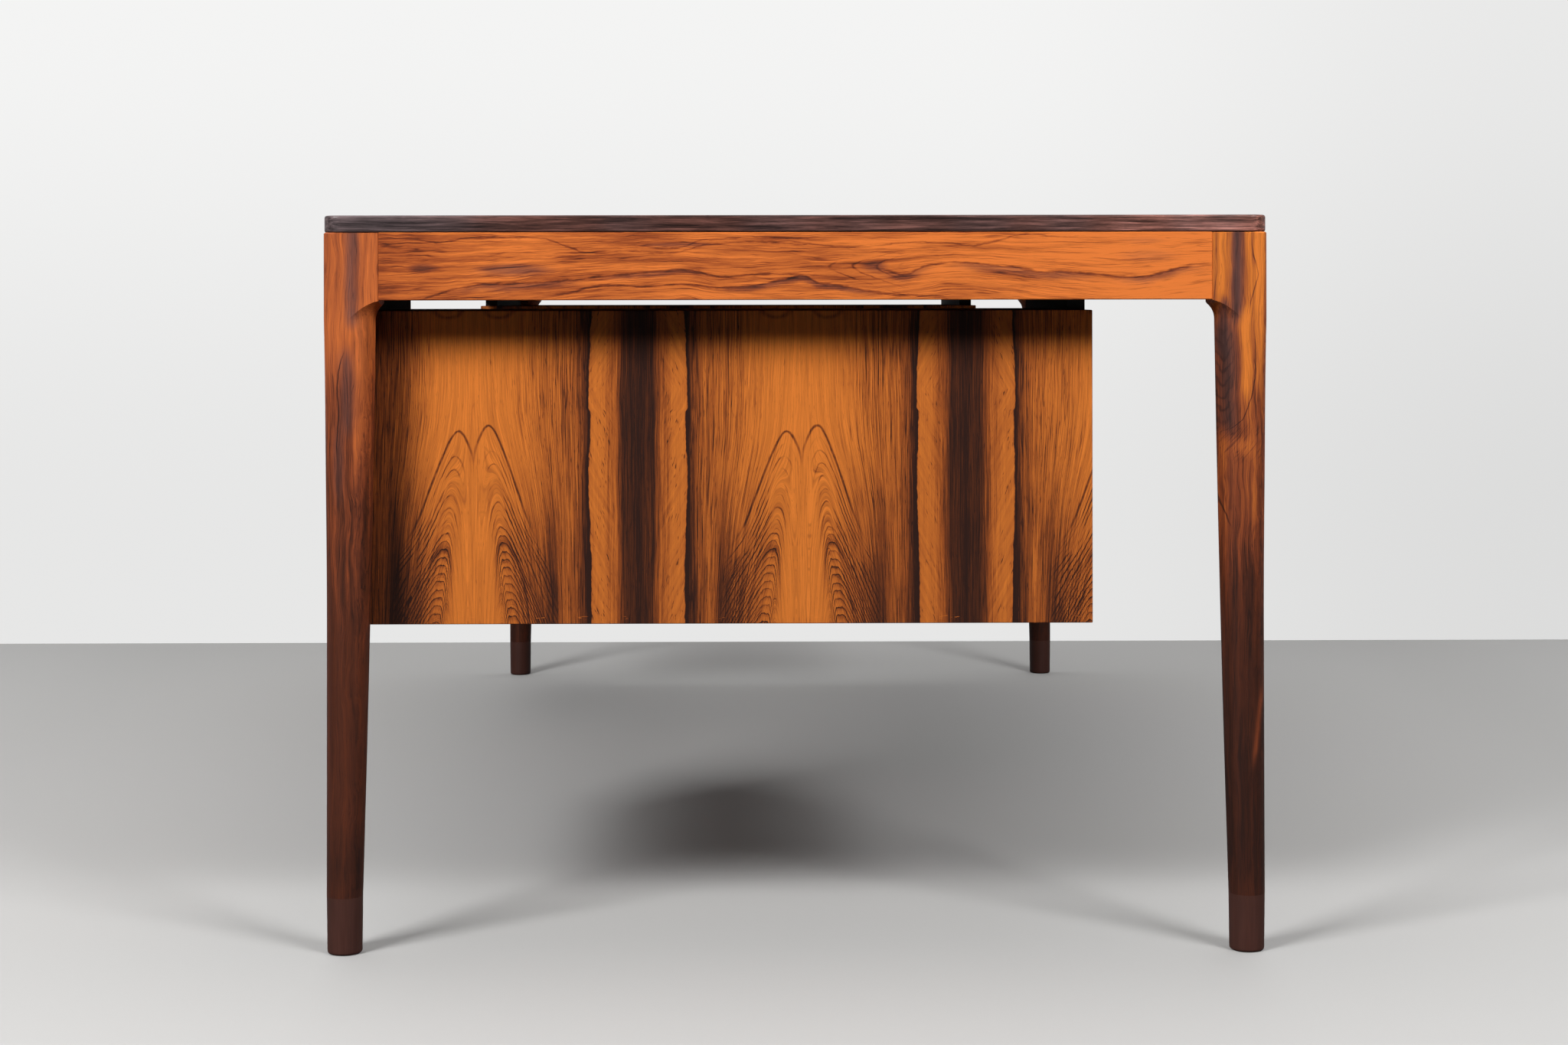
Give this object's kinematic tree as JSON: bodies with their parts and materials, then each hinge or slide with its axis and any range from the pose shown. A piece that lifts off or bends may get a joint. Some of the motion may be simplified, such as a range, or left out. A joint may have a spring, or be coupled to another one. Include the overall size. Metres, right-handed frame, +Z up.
{
  "type": "pedestal desk",
  "caption": "Rosewood writing desk on turned tapered legs, with two drawer pedestals hung under the frame by dark spacers and a knee space between them.",
  "frame": {"origin": "on the floor under the middle of the desk", "axes": "+X along the desk to the sitter's right, +Y away from the sitter, +Z up"},
  "size_m": [1.9, 0.94, 0.735],
  "materials": {
    "desktop_veneer": "satin lacquer, rosewood veneer",
    "edge_wood": "satin lacquer, near-black rosewood",
    "leg_wood": "satin lacquer, solid rosewood",
    "foot_wood": "satin lacquer, dark red-brown wood",
    "rail_wood": "satin lacquer, solid rosewood",
    "panel_veneer": "satin lacquer, book-matched rosewood veneer",
    "front_veneer": "satin lacquer, rosewood veneer",
    "drawer_lining": "waxed mahogany-coloured wood",
    "frame_wood": "bare beech-coloured wood",
    "black_spacer": "matt black stain",
    "steel": "zinc-plated steel"
  },
  "bodies": {
    "frame": {"back_rail": "rail_wood", "bracket_screws": "steel", "corner_bolts": "steel", "corner_braces": "frame_wood", "corner_nuts_and_washers": "steel", "cross_rails": "frame_wood", "desktop_brackets": "steel", "desktop_lippings": "edge_wood", "desktop_panel": "desktop_veneer", "drawer_runners": "drawer_lining", "foot_dowels": "drawer_lining", "front_bearer": "frame_wood", "front_rail": "rail_wood", "hanging_bolts": "steel", "left_back_foot": "foot_wood", "left_back_leg": "leg_wood", "left_end_rail": "rail_wood", "left_front_foot": "foot_wood", "left_front_leg": "leg_wood", "left_pedestal_back": "panel_veneer", "left_pedestal_bottom": "panel_veneer", "left_pedestal_inner_side": "panel_veneer", "left_pedestal_outer_side": "panel_veneer", "left_pedestal_top": "panel_veneer", "pedestal_spacers": "black_spacer", "rear_bearer": "frame_wood", "right_back_foot": "foot_wood", "right_back_leg": "leg_wood", "right_end_rail": "rail_wood", "right_front_foot": "foot_wood", "right_front_leg": "leg_wood", "right_pedestal_back": "panel_veneer", "right_pedestal_bottom": "panel_veneer", "right_pedestal_inner_side": "panel_veneer", "right_pedestal_outer_side": "panel_veneer", "right_pedestal_top": "panel_veneer"},
    "right_top_drawer": {"right_top_drawer_bottom": "drawer_lining", "right_top_drawer_front": "front_veneer", "right_top_drawer_pull": "front_veneer", "right_top_drawer_sides": "drawer_lining"},
    "right_middle_drawer": {"right_middle_drawer_bottom": "drawer_lining", "right_middle_drawer_front": "front_veneer", "right_middle_drawer_pull": "front_veneer", "right_middle_drawer_sides": "drawer_lining"},
    "right_bottom_drawer": {"right_bottom_drawer_bottom": "drawer_lining", "right_bottom_drawer_front": "front_veneer", "right_bottom_drawer_pull": "front_veneer", "right_bottom_drawer_sides": "drawer_lining"},
    "left_top_drawer": {"left_top_drawer_bottom": "drawer_lining", "left_top_drawer_front": "front_veneer", "left_top_drawer_pull": "front_veneer", "left_top_drawer_sides": "drawer_lining"},
    "left_middle_drawer": {"left_middle_drawer_bottom": "drawer_lining", "left_middle_drawer_front": "front_veneer", "left_middle_drawer_pull": "front_veneer", "left_middle_drawer_sides": "drawer_lining"},
    "left_bottom_drawer": {"left_bottom_drawer_bottom": "drawer_lining", "left_bottom_drawer_front": "front_veneer", "left_bottom_drawer_pull": "front_veneer", "left_bottom_drawer_sides": "drawer_lining"}
  },
  "joints": [
    {"name": "right_top_drawer_slide", "type": "slide", "parent": "frame", "child": "right_top_drawer", "axis": [0, -1, 0], "range_m": [0, 0.45]},
    {"name": "right_middle_drawer_slide", "type": "slide", "parent": "frame", "child": "right_middle_drawer", "axis": [0, -1, 0], "range_m": [0, 0.45]},
    {"name": "right_bottom_drawer_slide", "type": "slide", "parent": "frame", "child": "right_bottom_drawer", "axis": [0, -1, 0], "range_m": [0, 0.45]},
    {"name": "left_top_drawer_slide", "type": "slide", "parent": "frame", "child": "left_top_drawer", "axis": [0, -1, 0], "range_m": [0, 0.45]},
    {"name": "left_middle_drawer_slide", "type": "slide", "parent": "frame", "child": "left_middle_drawer", "axis": [0, -1, 0], "range_m": [0, 0.45]},
    {"name": "left_bottom_drawer_slide", "type": "slide", "parent": "frame", "child": "left_bottom_drawer", "axis": [0, -1, 0], "range_m": [0, 0.45]}
  ]
}
